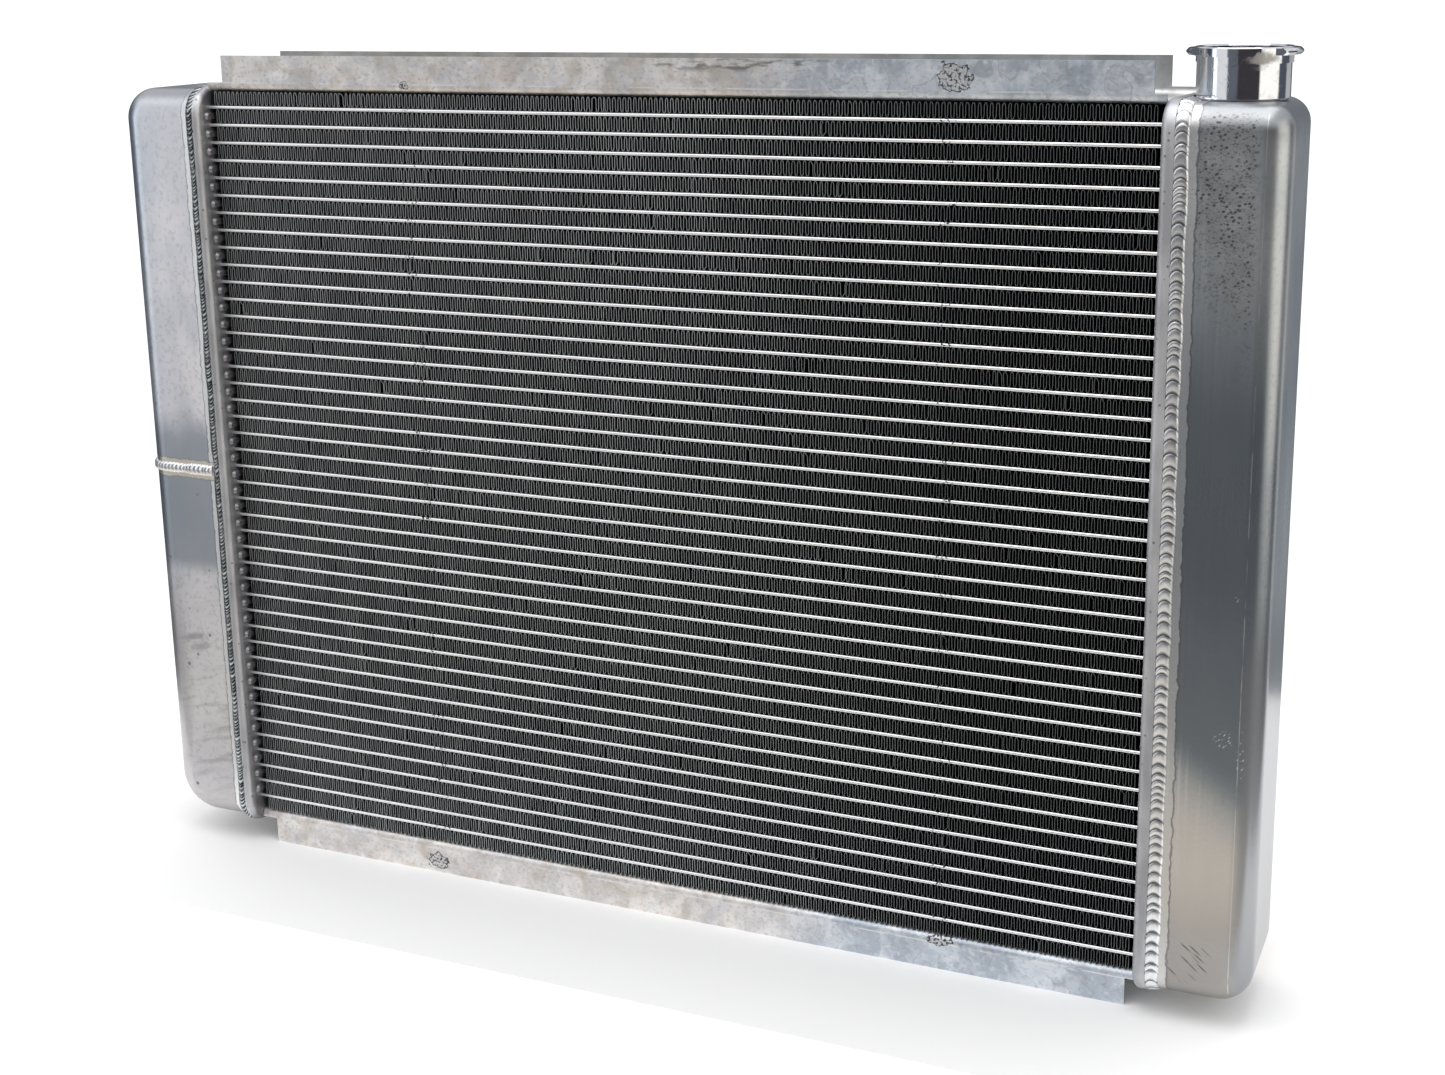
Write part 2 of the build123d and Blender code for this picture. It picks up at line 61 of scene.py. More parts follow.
class Nodes:
    """A node tree, with short calls for the nodes that it is made of."""

    def __init__(self, tree):
        self.tree = tree

    def feed(self, socket, value):
        if isinstance(value, bpy.types.NodeSocket):
            self.tree.links.new(value, socket)
        else:
            socket.default_value = value

    def node(self, kind, inputs=(), **settings):
        node = self.tree.nodes.new(kind)
        for name, value in settings.items():
            setattr(node, name, value)
        for name, value in dict(inputs).items():
            self.feed(node.inputs[name], value)
        return node

    def math(self, operation, first, second=0.0):
        return self.node("ShaderNodeMath", {0: first, 1: second}, operation=operation).outputs[0]

    def times(self, *factors):
        product = factors[0]
        for factor in factors[1:]:
            product = self.math("MULTIPLY", product, factor)
        return product

    def plus(self, *terms):
        total = terms[0]
        for term in terms[1:]:
            total = self.math("ADD", total, term)
        return total

    def ramp(self, value, low, high, start=0.0, end=1.0):
        """Goes smoothly from start to end as value goes from low to high."""
        limits = {"Value": value, "From Min": low, "From Max": high, "To Min": start, "To Max": end}
        return self.node("ShaderNodeMapRange", limits, interpolation_type="SMOOTHSTEP").outputs["Result"]

    def band(self, value, low, high, edge):
        """1 between low and high, fading to 0 over edge at each end."""
        rising = self.ramp(value, low - edge / 2, low + edge / 2)
        return self.times(rising, self.ramp(value, high + edge / 2, high - edge / 2))

    def blend(self, factor, low, high):
        mixed = self.node("ShaderNodeMix", data_type="RGBA")
        for socket, value in ((0, factor), (6, low), (7, high)):
            if isinstance(value, tuple):
                value = (*value, 1.0)
            self.feed(mixed.inputs[socket], value)
        return mixed.outputs[2]

    def coat(self, colour, tone, *amounts):
        """colour, covered with tone as far as the product of the amounts says."""
        return self.blend(self.times(*amounts), colour, tone)


# --- camera and light ---

# Both in millimetres.
FOCAL_LENGTH = 54.42602
SENSOR_WIDTH = 36.0
WHITE_STRENGTH = 1.15


def add_camera(place, azimuth, pitch, roll):
    """A camera at place, turned from +Y towards -X, then down by pitch, and rolled, all in degrees."""
    azimuth, pitch, roll = (math.radians(angle) for angle in (azimuth, pitch, roll))
    level = Vector((math.cos(azimuth), math.sin(azimuth), 0))
    forward = Vector((-math.sin(azimuth), math.cos(azimuth), 0)) * math.cos(pitch)
    forward.z = -math.sin(pitch)
    upward = level.cross(forward)
    right = level * math.cos(roll) + upward * math.sin(roll)
    up = upward * math.cos(roll) - level * math.sin(roll)
    lens = bpy.data.cameras.new("camera")
    lens.sensor_width = SENSOR_WIDTH
    lens.lens = FOCAL_LENGTH
    camera = bpy.data.objects.new("camera", lens)
    camera.matrix_world = Matrix.Translation(place) @ Matrix((right, up, -forward)).transposed().to_4x4()
    bpy.context.scene.collection.objects.link(camera)
    bpy.context.scene.camera = camera


def add_softbox(name, place, target, size, power):
    """A rectangular area light at place that faces target."""
    light = bpy.data.lights.new(name, "AREA")
    light.shape = "RECTANGLE"
    light.size, light.size_y = size
    light.energy = power
    softbox = bpy.data.objects.new(name, light)
    softbox.location = place
    softbox.rotation_euler = (Vector(place) - Vector(target)).to_track_quat("Z", "Y").to_euler()
    softbox.visible_camera = False
    bpy.context.scene.collection.objects.link(softbox)


def add_world():
    """White, except in the metal, which reflects a dim room with white screens round the radiator."""
    world = bpy.data.worlds.new("studio")
    world.use_nodes = True
    world.cycles.sampling_method = "NONE"
    bpy.context.scene.world = world
    world.node_tree.nodes.clear()
    w = Nodes(world.node_tree)
    direction = w.node("ShaderNodeTexCoord").outputs["Generated"]
    x, y, z = w.node("ShaderNodeSeparateXYZ", {"Vector": direction}).outputs
    to_degrees = 180 / math.pi
    # Azimuth runs from the grille side, -Y, towards +X.
    azimuth = w.times(w.math("ARCTAN2", x, w.times(y, -1.0)), to_degrees)
    elevation = w.times(w.math("ARCSINE", z), to_degrees)

    def screen(azimuths, elevations, edges):
        """1 inside a rectangle of directions, fading over its side edges and its level edges, in degrees."""
        return w.times(w.band(azimuth, *azimuths, edges[0]), w.band(elevation, *elevations, edges[1]))

    # The dim walls, darkest near the camera, and the paler ceiling.
    room = w.blend(w.ramp(azimuth, -66, -60), (0.07, 0.08, 0.10), (0.13, 0.145, 0.17))
    near_camera = w.times(w.band(azimuth, -2, 52, 6), w.ramp(elevation, -12, -5))
    room = w.coat(room, (0.05, 0.045, 0.05), near_camera)
    room = w.coat(room, (0.09, 0.10, 0.13), w.band(azimuth, 108, 136, 5))
    room = w.coat(room, (0.50, 0.50, 0.50), w.band(azimuth, 136, 165, 5))
    room = w.coat(room, (0.13, 0.16, 0.21), w.ramp(azimuth, 162, 168))
    room = w.coat(room, (0.82, 0.83, 0.86), w.ramp(elevation, 12, 32))

    # The screens, then the floor below them and the dark strip behind the radiator.
    high_screen = screen((-78, 8), (24, 64), (14, 8))
    room = w.coat(room, (1.4, 1.4, 1.42), high_screen)
    left_screen = screen((-64, -27), (-11.5, 38), (5, 4))
    room = w.coat(room, (0.84, 0.84, 0.85), left_screen)
    left_lamp = screen((-66, -55), (-11.5, 38), (3, 4))
    room = w.coat(room, (1.5, 1.6, 1.75), left_lamp)
    right_screen = screen((52, 106), (-11, 38), (5, 5))
    room = w.coat(room, (1.3, 1.25, 1.17), right_screen)
    room = w.coat(room, (0.74, 0.70, 0.64), w.ramp(elevation, -17.5, -23))
    behind = w.times(w.ramp(azimuth, 165, 168), w.ramp(elevation, -12, -13))
    room = w.coat(room, (0.30, 0.33, 0.36), behind)

    # Reflections show the room. The camera and diffuse light see plain white.
    reflected = w.node("ShaderNodeBackground", {"Color": room})
    white = w.node("ShaderNodeBackground", {"Color": (1, 1, 1, 1), "Strength": WHITE_STRENGTH})
    ray = w.node("ShaderNodeLightPath")
    plain = w.math("MAXIMUM", ray.outputs["Is Camera Ray"], ray.outputs["Is Diffuse Ray"])
    mixed = w.node("ShaderNodeMixShader", {0: plain, 1: reflected.outputs[0], 2: white.outputs[0]})
    w.node("ShaderNodeOutputWorld", {"Surface": mixed.outputs[0]})


# --- materials ---

class Shader(Nodes):
    """One procedural material, laid out in the model's own place coordinates."""

    def __init__(self, name, metallic=1.0):
        self.material = bpy.data.materials.new(name)
        self.material.use_nodes = True
        super().__init__(self.material.node_tree)
        self.surface = self.tree.nodes["Principled BSDF"]
        self.surface.inputs["Metallic"].default_value = metallic
        self.place = self.node("ShaderNodeTexCoord").outputs["Object"]
        self.x, self.y, self.z = self.node("ShaderNodeSeparateXYZ", {"Vector": self.place}).outputs

    def scaled(self, size, stretch, at, turn):
        """The place, in units of size metres, longer along the axes where stretch is over 1."""
        turned = self.node("ShaderNodeMapping", {"Vector": self.place, "Rotation": turn}).outputs[0]
        scale = [1 / (size * factor) for factor in stretch]
        return self.node("ShaderNodeMapping", {"Vector": turned, "Scale": scale, "Location": at}).outputs[0]

    def noise(self, size, stretch=(1, 1, 1), at=(0, 0, 0), turn=(0, 0, 0), detail=3.0, swirl=0.0):
        vector = self.scaled(size, stretch, at, turn)
        inputs = {"Vector": vector, "Scale": 1.0, "Detail": detail, "Distortion": swirl}
        return self.node("ShaderNodeTexNoise", inputs).outputs["Fac"]

    def cells(self, size, stretch=(1, 1, 1), at=(0, 0, 0), turn=(0, 0, 0)):
        """Distance from the nearest of scattered points, in units of size."""
        vector = self.scaled(size, stretch, at, turn)
        inputs = {"Vector": vector, "Scale": 1.0, "Randomness": 1.0}
        return self.node("ShaderNodeTexVoronoi", inputs).outputs["Distance"]

    def near(self, centre, radii, edge=0.6):
        """1 inside an ellipsoid round centre, falling to 0 at its rim. All in millimetres."""
        centre = [value * mm for value in centre]
        scale = [1 / (radius * mm) for radius in radii]
        kind = "ShaderNodeVectorMath"
        offset = self.node(kind, {0: self.place, 1: centre}, operation="SUBTRACT").outputs[0]
        offset = self.node(kind, {0: offset, 1: scale}, operation="MULTIPLY").outputs[0]
        away = self.node(kind, {0: offset}, operation="LENGTH").outputs["Value"]
        return self.ramp(away, 1.0, 1.0 - edge)

    def away(self, value, middle):
        return self.math("ABSOLUTE", self.math("SUBTRACT", value, middle))

    def finish(self, colour, roughness, height=None, depth=0.1 * mm):
        """Feeds the surface. height goes from 0 to 1, and depth is what 1 stands for, in metres."""
        self.feed(self.surface.inputs["Base Color"], colour)
        self.feed(self.surface.inputs["Roughness"], roughness)
        if height is not None:
            relief = self.node("ShaderNodeBump", {"Height": height, "Distance": depth})
            self.feed(self.surface.inputs["Normal"], relief.outputs["Normal"])
        return self.material


def left_tank_metal():
    """Rolled sheet, cloudy and satin, heat-tinted beside the beads, and darker low down at the outer side.
    Painted shade half way up, at the foot and round the top; painted reflections of the floor below the
    middle and of the dim room towards the outer side.
    """
    s = Shader("left_tank_metal")
    clouds = s.noise(40 * mm, stretch=(1, 1, 2), detail=4)
    mottle = s.noise(2.6 * mm, detail=5, at=(3, 1, 2))
    brush = s.noise(0.35 * mm, stretch=(1, 1, 60), at=(7, 0, 0), detail=2)
    colour = s.blend(s.ramp(clouds, 0.35, 0.66), (0.80, 0.78, 0.81), (1.0, 0.97, 0.98))
    # Bluish towards the outer side: a painted reflection of the dim room on the rounded edge, plus bluish
    # patches that follow the clouds.
    cool = s.plus(s.times(s.ramp(s.x, -304 * mm, -334 * mm), 0.5), s.times(s.ramp(clouds, 0.6, 0.4), 0.3))
    colour = s.coat(colour, (0.62, 0.68, 0.75), cool)

    # Zones from the middle down: painted shade, a painted reflection of the floor below it, then darker at
    # the outer side low down, and painted shade at the foot.
    ragged = s.plus(s.z, s.times(clouds, 24 * mm))
    # Painted shade half way up.
    shaded = s.times(s.ramp(ragged, 184 * mm, 196 * mm), s.ramp(ragged, 292 * mm, 268 * mm))
    colour = s.coat(colour, (0.34, 0.39, 0.44), shaded, 0.75)
    # Painted reflection of the floor: paler below the middle.
    colour = s.coat(colour, (1.0, 0.97, 0.98), s.ramp(ragged, 194 * mm, 160 * mm), 0.85)
    # Darker low down at the outer side, and painted shade at the foot.
    dark_side_and_foot_shade = s.times(s.ramp(s.x, -316 * mm, -332 * mm), s.ramp(ragged, 205 * mm, 130 * mm))
    dark_side_and_foot_shade = s.math("MAXIMUM", s.times(dark_side_and_foot_shade, 0.65), s.ramp(ragged, 105 * mm, 22 * mm, 0.0, 0.7))
    colour = s.coat(colour, (0.34, 0.32, 0.315), dark_side_and_foot_shade)
    colour = s.coat(colour, (0.45, 0.46, 0.49), s.ramp(mottle, 0.48, 0.7), 0.35)

    # Smears and spots.
    low = s.ramp(s.z, 190 * mm, 60 * mm)
    smears = s.noise(9 * mm, stretch=(3.5, 1, 0.55), at=(0, 4, 9), turn=(0, 0.25, 0), detail=4)
    colour = s.coat(colour, (0.38, 0.365, 0.35), low, s.ramp(smears, 0.5, 0.72), 0.5)
    smear = s.times(s.near((-314, -38, 129), (13, 9, 8)), s.ramp(smears, 0.4, 0.6))
    colour = s.coat(colour, (0.30, 0.29, 0.28), smear, 0.5)
    spots = s.ramp(s.cells(13 * mm, at=(1, 5, 3)), 0.12, 0.05)
    colour = s.coat(colour, (0.14, 0.14, 0.15), spots, s.ramp(s.z, 260 * mm, 180 * mm), 0.8)

    # Heat tint beside the header's bead and on both sides of the divider's, each with a dark outline.
    wavy = s.times(s.noise(4 * mm, at=(2, 6, 2)), 2.4 * mm)
    toe, tint_edge = s.plus(s.x, wavy), -291.9 * mm
    colour = s.coat(colour, (0.94, 0.95, 0.94), s.ramp(toe, tint_edge, -291.3 * mm), 0.9)
    colour = s.coat(colour, (0.22, 0.23, 0.24), s.ramp(s.away(toe, tint_edge), 0.5 * mm, 0.1 * mm), 0.7)
    tint = s.plus(s.away(s.z, DIVIDER_HEIGHT), s.times(s.noise(4 * mm, at=(8, 1, 1)), 3 * mm))
    colour = s.coat(colour, (0.86, 0.80, 0.68), s.ramp(tint, 7.4 * mm, 6.8 * mm), 0.85)
    colour = s.coat(colour, (0.30, 0.27, 0.22), s.ramp(s.away(tint, 7.2 * mm), 0.6 * mm, 0.1 * mm), 0.5)

    # Painted shade round the top.
    colour = s.coat(colour, (0.36, 0.37, 0.39), s.ramp(s.z, 446 * mm, 462 * mm), 0.8)
    roughness = s.plus(0.24, s.times(clouds, 0.10), s.times(brush, 0.08), s.times(spots, 0.2))
    height = s.plus(s.times(brush, 0.25), s.times(clouds, 0.5), s.times(mottle, 0.25))
    return s.finish(colour, roughness, height, 0.09 * mm)


def right_tank_metal():
    """Rolled sheet: stained at the top, brushed by the bead, scuffed on its front bend. Painted shade above
    the middle, at its foot, on its lower end face and round its top, and a warm painted reflection of the
    floor below the middle.
    """
    s = Shader("right_tank_metal")
    front = s.ramp(s.y, -34 * mm, -37 * mm)
    clouds = s.noise(45 * mm, stretch=(1, 1, 2), at=(5, 2, 1), detail=4)
    mottle = s.noise(2.0 * mm, detail=5, at=(3, 8, 2))
    brush = s.noise(0.35 * mm, stretch=(1, 1, 80), at=(2, 0, 0), detail=2)
    streaks = s.noise(2.0 * mm, stretch=(1, 1, 60), at=(2, 0, 0), detail=3)
    colour = s.blend(s.ramp(clouds, 0.35, 0.68), (0.50, 0.54, 0.56), (0.64, 0.66, 0.66))
    colour = s.coat(colour, (0.36, 0.37, 0.39), s.ramp(mottle, 0.48, 0.75), 0.35)
    brushed = s.times(s.ramp(streaks, 0.46, 0.66), s.ramp(s.x, 326 * mm, 298 * mm))
    colour = s.coat(colour, (0.86, 0.87, 0.87), brushed, 0.6)

    # Zones: painted shade above the middle, a warm painted reflection of the floor below it, and painted
    # shade at the foot, on the lower end face and round the top.
    ragged = s.plus(s.z, s.times(clouds, 16 * mm), s.times(s.x, 0.7))
    # Painted shade above the middle, over the front.
    shaded = s.times(s.ramp(ragged, 346 * mm, 376 * mm), s.ramp(s.z, 400 * mm, 310 * mm), front)
    colour = s.coat(colour, (0.24, 0.27, 0.30), shaded, 0.9)
    # Warm painted reflection of the floor below the middle.
    colour = s.coat(colour, (0.86, 0.81, 0.76), s.ramp(ragged, 366 * mm, 330 * mm), 0.8)
    # Painted shade at the foot.
    colour = s.coat(colour, (0.30, 0.285, 0.27), s.ramp(s.z, 95 * mm, 15 * mm), 0.9)
    # Painted shade on the lower end face.
    low_end_shade = s.times(s.ramp(s.z, 235 * mm, 190 * mm), s.ramp(s.x, 327 * mm, 335 * mm))
    colour = s.coat(colour, (0.32, 0.33, 0.35), low_end_shade, 0.85)
    # Painted shade round the top.
    colour = s.coat(colour, (0.28, 0.29, 0.30), s.ramp(s.z, 440 * mm, 462 * mm), 0.8)

    # Stains: dull ground with short dark dashes, over the upper front.
    edge_noise = s.times(s.noise(16 * mm, at=(7, 7, 1), detail=5), 60 * mm)
    stained = s.ramp(s.plus(s.z, s.times(s.x, 1.9), edge_noise), 965 * mm, 1030 * mm)
    stained = s.times(stained, s.ramp(s.x, 329 * mm, 323 * mm), front)
    ground = s.ramp(s.noise(6 * mm, stretch=(1.6, 1, 1), at=(4, 4, 4), detail=5), 0.36, 0.62)
    colour = s.coat(colour, (0.36, 0.355, 0.36), stained, s.plus(0.35, s.times(ground, 0.35)))
    dashes = s.ramp(s.cells(2.7 * mm, stretch=(1.0, 3.0, 0.75), turn=(0, 0.25, 0)), 0.40, 0.20)
    dashes = s.times(dashes, s.ramp(s.noise(12 * mm, at=(1, 4, 8)), 0.36, 0.50))
    specks = s.ramp(s.noise(0.8 * mm, stretch=(1.6, 1, 1), at=(5, 1, 1), detail=3), 0.54, 0.66)
    dark = s.math("MAXIMUM", dashes, s.times(specks, 0.7))
    colour = s.coat(colour, (0.09, 0.09, 0.10), stained, dark, 0.85)

    # Strokes low down, scuffs half way up, and the line where the bend starts.
    struck = s.times(s.near((307, -38, 36), (17, 9, 14), edge=0.4), front)
    strokes = s.cells(8 * mm, stretch=(1.9, 1, 0.22), turn=(0, -0.68, 0), at=(2, 0, 1))
    colour = s.coat(colour, (0.12, 0.11, 0.10), struck, s.ramp(strokes, 0.34, 0.12), 0.8)
    nicks = s.ramp(s.cells(1.7 * mm, stretch=(1.6, 1, 0.5), turn=(0, 0.8, 0)), 0.36, 0.2)
    scuffs = s.plus(s.near((322, -38, 157), (6, 9, 6)), s.near((331, -38, 150), (3, 9, 16)))
    scuffs = s.plus(scuffs, s.near((325, -38, 229), (3, 9, 2)), s.near((329, -37, 234), (2, 9, 2)))
    colour = s.coat(colour, (0.93, 0.94, 0.95), scuffs, nicks)
    line = s.times(s.ramp(s.away(s.x, 329.6 * mm), 0.35 * mm, 0.1 * mm), front)
    line = s.times(line, s.ramp(s.noise(6 * mm, stretch=(1, 1, 2.5)), 0.36, 0.56))
    colour = s.coat(colour, (0.92, 0.94, 0.95), line, 0.5)

    # Heat tint beside the header's bead, with a dark outline.
    wavy = s.times(s.noise(5 * mm, at=(2, 6, 2)), 3.2 * mm)
    toe, tint_edge = s.math("SUBTRACT", s.x, wavy), 296.8 * mm
    colour = s.coat(colour, (0.85, 0.85, 0.84), s.ramp(toe, tint_edge, 296.0 * mm), 0.65)
    colour = s.coat(colour, (0.22, 0.22, 0.23), s.ramp(s.away(toe, tint_edge), 0.7 * mm, 0.2 * mm), 0.7)
    roughness = s.plus(0.18, s.times(clouds, 0.08), s.times(brush, 0.06), s.times(stained, 0.05))
    roughness = s.plus(roughness, s.ramp(s.z, 200 * mm, 460 * mm, 0.0, 0.10))
    height = s.plus(s.times(brush, 0.25), s.times(clouds, 0.5), s.times(mottle, 0.25))
    return s.finish(colour, roughness, height, 0.07 * mm)


def header_metal():
    """Pressed sheet, dulled and specked by the brazing furnace, and darker between its two bends, on its
    face to the core.
    """
    s = Shader("header_metal")
    clouds = s.noise(12 * mm, stretch=(1, 1, 3), detail=5)
    grain = s.noise(0.8 * mm, stretch=(1, 1, 4), detail=4, at=(2, 2, 2))
    colour = s.blend(s.ramp(clouds, 0.35, 0.7), (0.50, 0.50, 0.52), (0.70, 0.70, 0.71))
    specks = s.ramp(s.cells(6 * mm, at=(3, 1, 5)), 0.16, 0.07)
    colour = s.coat(colour, (0.14, 0.14, 0.15), specks, 0.7)
    # Darker between its two bends, on its face to the core.
    darker_core_face = s.ramp(s.math("ABSOLUTE", s.y), 36 * mm, 33 * mm)
    colour = s.coat(colour, (0.24, 0.24, 0.26), darker_core_face, 0.65)
    roughness = s.plus(0.45, s.times(grain, 0.2))
    height = s.plus(s.times(grain, 0.5), s.times(clouds, 0.5))
    return s.finish(colour, roughness, height, 0.12 * mm)


def channel_metal():
    """Brazed sheet. Its front is yellowish with white blotches at the left and blue-grey at the right, with
    black residue from the straps. Its rear is plain and greyer."""
    s = Shader("channel_metal")
    clouds = s.noise(20 * mm, at=(1, 6, 2), detail=5, swirl=0.6)
    mottle = s.noise(4 * mm, at=(6, 1, 3), detail=6, swirl=0.4)
    grain = s.noise(0.5 * mm, stretch=(6, 1, 1), detail=3)
    cool = s.ramp(s.x, 40 * mm, 130 * mm)
    front = s.ramp(s.y, 10 * mm, -10 * mm)
    warm = s.blend(s.ramp(clouds, 0.35, 0.65), (0.72, 0.69, 0.685), (0.92, 0.88, 0.85))
    blue = s.blend(s.ramp(clouds, 0.38, 0.62), (0.52, 0.58, 0.65), (0.78, 0.83, 0.89))
    colour = s.blend(cool, warm, blue)
    colour = s.coat(colour, (0.92, 0.92, 0.92), s.ramp(mottle, 0.46, 0.72), front, 0.55)
    pools = s.noise(17 * mm, at=(4, 2, 7), detail=2, swirl=0.8)
    tidemarks = s.ramp(s.away(pools, 0.56), 0.018, 0.004)
    colour = s.coat(colour, (0.46, 0.49, 0.55), s.ramp(pools, 0.53, 0.62), front, 0.25)
    colour = s.coat(colour, (0.38, 0.39, 0.42), tidemarks, front, cool, 0.4)
    flux = s.ramp(s.noise(9 * mm, at=(9, 2, 4), detail=6), 0.54, 0.72)
    colour = s.coat(colour, (0.96, 0.96, 0.94), flux, front, s.ramp(s.x, 60 * mm, -20 * mm), 0.8)
    stains = s.ramp(s.noise(11 * mm, at=(2, 9, 3), detail=6, swirl=0.5), 0.48, 0.70)
    colour = s.coat(colour, (0.60, 0.535, 0.44), stains, s.ramp(s.x, 130 * mm, 40 * mm), 0.55)
    speckle = s.ramp(s.noise(1.8 * mm, stretch=(1.5, 1, 1), at=(7, 3, 3), detail=6), 0.50, 0.70)
    colour = s.coat(colour, (0.42, 0.41, 0.41), speckle, 0.45)

    # The rear, then a painted highlight along the bend, and a sooty top edge.
    plain = s.blend(s.ramp(clouds, 0.35, 0.65), (0.40, 0.40, 0.385), (0.56, 0.555, 0.54))
    plain = s.coat(plain, (0.34, 0.34, 0.335), s.ramp(mottle, 0.5, 0.7), 0.3)
    colour = s.blend(front, plain, colour)
    # Painted highlight: white along the bend of the front flange, broken up by noise.
    bend = s.ramp(s.away(s.away(s.z, MIDDLE_HEIGHT), CHANNEL_BEND), 0.6 * mm, 0.1 * mm)
    broken = s.ramp(s.noise(5 * mm, stretch=(3, 1, 1), at=(1, 1, 5)), 0.42, 0.56)
    colour = s.coat(colour, (0.96, 0.96, 0.96), bend, front, broken, 0.7)
    soot = s.noise(3 * mm, stretch=(5, 1, 1), at=(2, 7, 7), detail=5)
    soot = s.times(s.ramp(soot, 0.5, 0.62), s.near((55, -28, 480), (75, 12, 5)))
    colour = s.coat(colour, (0.12, 0.11, 0.10), soot, 0.7)

    # Residue where the straps lay: dark-edged patches, mottled inside.
    warp = s.times(s.math("SUBTRACT", s.noise(4 * mm, at=(6, 6, 6), detail=4), 0.5), 1.5)
    patches = s.plus(s.near((-145, -28, 467), (6, 9, 4), 1), s.near((175, -28, 474), (15, 9, 13), 1))
    patches = s.plus(patches, s.near((-150, -28, 7), (12, 9, 9), 1))
    patches = s.plus(patches, s.near((172, -28, 17), (12, 9, 5), 1))
    patches = s.plus(patches, s.times(warp, s.ramp(patches, 0.0, 0.2)))
    inside = s.ramp(patches, 0.36, 0.40)
    outline = s.times(inside, s.ramp(patches, 0.56, 0.44))
    spots = s.ramp(s.noise(1.5 * mm, at=(5, 5, 1), detail=4), 0.50, 0.58)
    residue = s.math("MAXIMUM", outline, s.times(inside, spots))
    colour = s.coat(colour, (0.66, 0.66, 0.66), inside, 0.7)
    colour = s.coat(colour, (0.04, 0.04, 0.045), residue, 0.9)
    roughness = s.plus(0.36, s.times(mottle, 0.25), s.times(residue, 0.2))
    height = s.plus(s.times(grain, 0.2), s.times(mottle, 0.6), s.times(residue, 0.6))
    return s.finish(colour, roughness, height, 0.12 * mm)


def tube_metal():
    """Drawn tube with fine lengthways marks, bright on its nose, with painted shade on its flats and specks
    of residue where the straps lay."""
    s = Shader("tube_metal")
    lines = s.noise(0.3 * mm, stretch=(60, 1, 1), detail=2)
    patches = s.noise(7 * mm, stretch=(3, 1, 1), detail=4, at=(2, 2, 2))
    colour = s.blend(s.ramp(patches, 0.3, 0.7), (0.93, 0.94, 0.96), (1.0, 1.0, 1.0))
    # Painted shade on the flats, which leaves only the nose bright.
    from_tube = s.math("PINGPONG", s.plus(s.z, -MIDDLE_HEIGHT), TUBE_PITCH / 2)
    colour = s.coat(colour, (0.10, 0.10, 0.11), s.ramp(from_tube, 0.65 * mm, 1.0 * mm), 0.85)
    straps = s.plus(*(s.ramp(s.away(s.x, strap), 6 * mm, 4 * mm) for strap in STRAPS))
    ragged = s.ramp(s.noise(1.3 * mm, at=(5, 5, 1), detail=5), 0.52, 0.58)
    residue = s.times(straps, ragged, s.ramp(s.noise(6 * mm, at=(8, 3, 3)), 0.48, 0.56))
    colour = s.coat(colour, (0.05, 0.05, 0.055), residue)
    roughness = s.plus(0.28, s.times(lines, 0.15))
    return s.finish(colour, roughness, lines, 0.03 * mm)


def fin_metal():
    """Thin folded strip with louvres, coloured with painted light and shade by depth: pale at its front
    edges, dark behind them and near black deep inside, and darker towards the filler tank.
    """
    s = Shader("fin_metal")
    patches = s.noise(14 * mm, stretch=(1, 1, 2), detail=4)
    fine = s.noise(1.6 * mm, at=(4, 1, 1), detail=3)
    from_middle = s.math("ABSOLUTE", s.y)
    shallow = s.blend(s.ramp(patches, 0.3, 0.7), (0.085, 0.09, 0.092), (0.13, 0.137, 0.14))
    edge = s.blend(s.ramp(patches, 0.3, 0.7), (0.42, 0.445, 0.45), (0.60, 0.625, 0.63))
    edge = s.coat(edge, (0.72, 0.74, 0.74), s.ramp(fine, 0.5, 0.75), 0.4)
    # Painted shade that deepens into the core, behind pale front edges.
    colour = s.blend(s.ramp(from_middle, 25.9 * mm, 27.5 * mm), (0.002, 0.002, 0.002), shallow)
    colour = s.coat(colour, edge, s.ramp(from_middle, 27.5 * mm, 27.85 * mm))
    # Painted shade towards the filler tank, where the core is seen deeper.
    colour = s.coat(colour, (0.018, 0.022, 0.024), s.ramp(s.x, -20 * mm, 220 * mm, 0.0, 0.65))
    louvres = s.times(s.math("PINGPONG", s.y, LOUVRE_WIDTH), 1 / LOUVRE_WIDTH)
    # Takes away most of the bright reflection that bare metal has at a grazing angle.
    s.surface.inputs["Specular Tint"].default_value = (0.12, 0.12, 0.12, 1.0)
    roughness = s.plus(0.42, s.times(fine, 0.2))
    return s.finish(colour, roughness, louvres, 0.25 * mm)


def weld_metal(name, low, high, crest=0.5):
    """Weld metal: colour low as painted shade between the ripples, and colour high as a painted highlight
    where their relief reaches crest.
    """
    s = Shader(name)
    relief = s.node("ShaderNodeAttribute", attribute_name="relief").outputs["Fac"]
    grain = s.noise(0.7 * mm, detail=4)
    haze = s.noise(8 * mm, detail=3, at=(3, 3, 3))
    # Painted shade in the ripples' valleys and painted highlights on their crests.
    colour = s.blend(s.ramp(relief, crest - 0.4, crest), low, high)
    colour = s.coat(colour, (0.60, 0.59, 0.57), s.ramp(haze, 0.45, 0.7), 0.3)
    roughness = s.plus(0.22, s.times(grain, 0.18))
    return s.finish(colour, roughness, s.plus(s.times(grain, 0.6), s.times(haze, 0.4)), 0.06 * mm)


